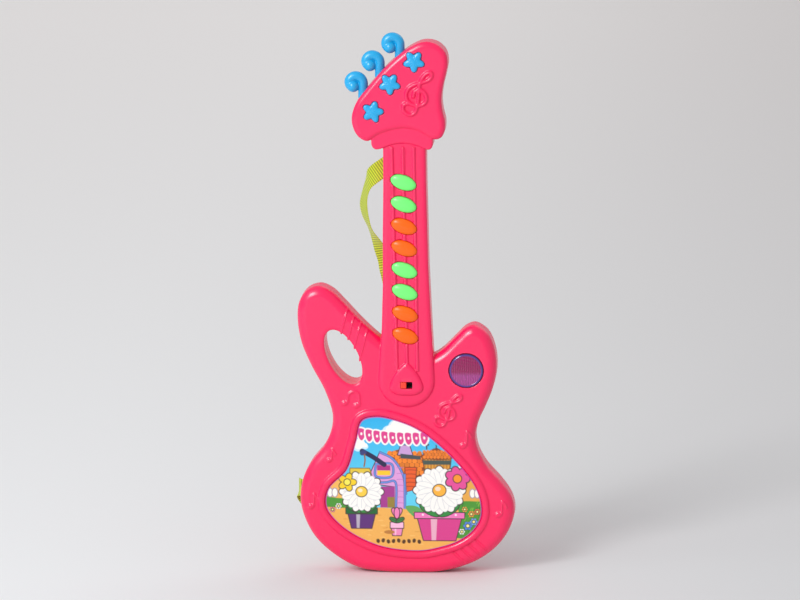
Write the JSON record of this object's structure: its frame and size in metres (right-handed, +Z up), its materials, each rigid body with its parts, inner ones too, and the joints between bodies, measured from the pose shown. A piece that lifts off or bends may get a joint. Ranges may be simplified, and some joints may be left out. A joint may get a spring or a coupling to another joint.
{
  "type": "toy electric guitar",
  "caption": "Upright toy guitar with a two-shell moulded case, handle hole, oval note keys, star keys, curled pegs, slide switch, lens, picture label and webbing strap.",
  "frame": {"origin": "middle of the underside of the whole object's box, on the surface it stands on", "axes": "+Z up along the neck from the body to the headstock, -Y out of the playing face, +X to the right as seen by someone facing the playing face"},
  "size_m": [0.1844, 0.0604, 0.4548],
  "materials": {
    "case_pink": "glossy moulded plastic, hot pink",
    "key_green": "glossy moulded plastic, light green",
    "key_orange": "glossy moulded plastic, orange",
    "trim_blue": "satin-gloss moulded plastic, sky blue",
    "lens_purple": "translucent ribbed purple plastic lens",
    "label_print": "gloss-laminated printed label",
    "knob_red": "matt moulded plastic, orange red",
    "webbing": "plain-woven polyester webbing, yellow-green",
    "circuit_board": "green solder mask",
    "contact_rubber": "grey silicone",
    "cable_grey": "grey flat cable jacket",
    "plated_steel": "nickel-plated pressed steel",
    "screw_steel": "zinc-plated screws",
    "paper_black": "black pressed paper, potting and switch housing",
    "cell_jacket": "plain printed film jacket",
    "led_clear": "clear epoxy"
  },
  "bodies": {
    "case": {"front_shell": "case_pink", "back_shell": "case_pink", "tuning_peg_1": "trim_blue", "tuning_peg_2": "trim_blue", "tuning_peg_3": "trim_blue", "lamp_lens": "lens_purple", "picture_label": "label_print", "strap": "webbing", "key_board": "circuit_board", "star_board": "circuit_board", "main_board": "circuit_board", "key_rubber_pad": "contact_rubber", "star_rubber_pad": "contact_rubber", "neck_cable": "cable_grey", "head_cable": "cable_grey", "speaker_frame": "plated_steel", "speaker_magnet": "plated_steel", "battery_contact_1": "plated_steel", "battery_contact_2": "plated_steel", "battery_contact_3": "plated_steel", "battery_contact_4": "plated_steel", "case_screw_1": "screw_steel", "case_screw_2": "screw_steel", "case_screw_3": "screw_steel", "case_screw_4": "screw_steel", "case_screw_5": "screw_steel", "case_screw_6": "screw_steel", "case_screw_7": "screw_steel", "case_screw_8": "screw_steel", "case_screw_9": "screw_steel", "speaker_cone": "paper_black", "sound_chip": "paper_black", "switch_body": "paper_black", "battery_cell_1": "cell_jacket", "battery_cell_2": "cell_jacket", "battery_cell_3": "cell_jacket", "lamp_led": "led_clear"},
    "note_button_1": {"note_button_1": "key_green"},
    "note_button_2": {"note_button_2": "key_green"},
    "note_button_3": {"note_button_3": "key_orange"},
    "note_button_4": {"note_button_4": "key_orange"},
    "note_button_5": {"note_button_5": "key_green"},
    "note_button_6": {"note_button_6": "key_green"},
    "note_button_7": {"note_button_7": "key_orange"},
    "note_button_8": {"note_button_8": "key_orange"},
    "star_button_1": {"star_button_1": "trim_blue"},
    "star_button_2": {"star_button_2": "trim_blue"},
    "star_button_3": {"star_button_3": "trim_blue"},
    "switch_knob": {"switch_knob": "knob_red"},
    "battery_cover": {"battery_cover": "case_pink", "cover_screw": "screw_steel"}
  },
  "joints": [
    {"name": "note_1_press", "type": "slide", "parent": "case", "child": "note_button_1", "axis": [0, 1, 0], "range_m": [0, 0.002], "stiffness_N_per_m": 700},
    {"name": "note_2_press", "type": "slide", "parent": "case", "child": "note_button_2", "axis": [0, 1, 0], "range_m": [0, 0.002], "stiffness_N_per_m": 700},
    {"name": "note_3_press", "type": "slide", "parent": "case", "child": "note_button_3", "axis": [0, 1, 0], "range_m": [0, 0.002], "stiffness_N_per_m": 700},
    {"name": "note_4_press", "type": "slide", "parent": "case", "child": "note_button_4", "axis": [0, 1, 0], "range_m": [0, 0.002], "stiffness_N_per_m": 700},
    {"name": "note_5_press", "type": "slide", "parent": "case", "child": "note_button_5", "axis": [0, 1, 0], "range_m": [0, 0.002], "stiffness_N_per_m": 700},
    {"name": "note_6_press", "type": "slide", "parent": "case", "child": "note_button_6", "axis": [0, 1, 0], "range_m": [0, 0.002], "stiffness_N_per_m": 700},
    {"name": "note_7_press", "type": "slide", "parent": "case", "child": "note_button_7", "axis": [0, 1, 0], "range_m": [0, 0.002], "stiffness_N_per_m": 700},
    {"name": "note_8_press", "type": "slide", "parent": "case", "child": "note_button_8", "axis": [0, 1, 0], "range_m": [0, 0.002], "stiffness_N_per_m": 700},
    {"name": "star_1_press", "type": "slide", "parent": "case", "child": "star_button_1", "axis": [0, 1, 0], "range_m": [0, 0.0015], "stiffness_N_per_m": 700},
    {"name": "star_2_press", "type": "slide", "parent": "case", "child": "star_button_2", "axis": [0, 1, 0], "range_m": [0, 0.0015], "stiffness_N_per_m": 700},
    {"name": "star_3_press", "type": "slide", "parent": "case", "child": "star_button_3", "axis": [0, 1, 0], "range_m": [0, 0.0015], "stiffness_N_per_m": 700},
    {"name": "power_slide", "type": "slide", "parent": "case", "child": "switch_knob", "axis": [1, 0, 0], "range_m": [0, 0.0048]},
    {"name": "cover_removal", "type": "slide", "parent": "case", "child": "battery_cover", "axis": [0, 1, 0], "range_m": [0, 0.012]}
  ]
}
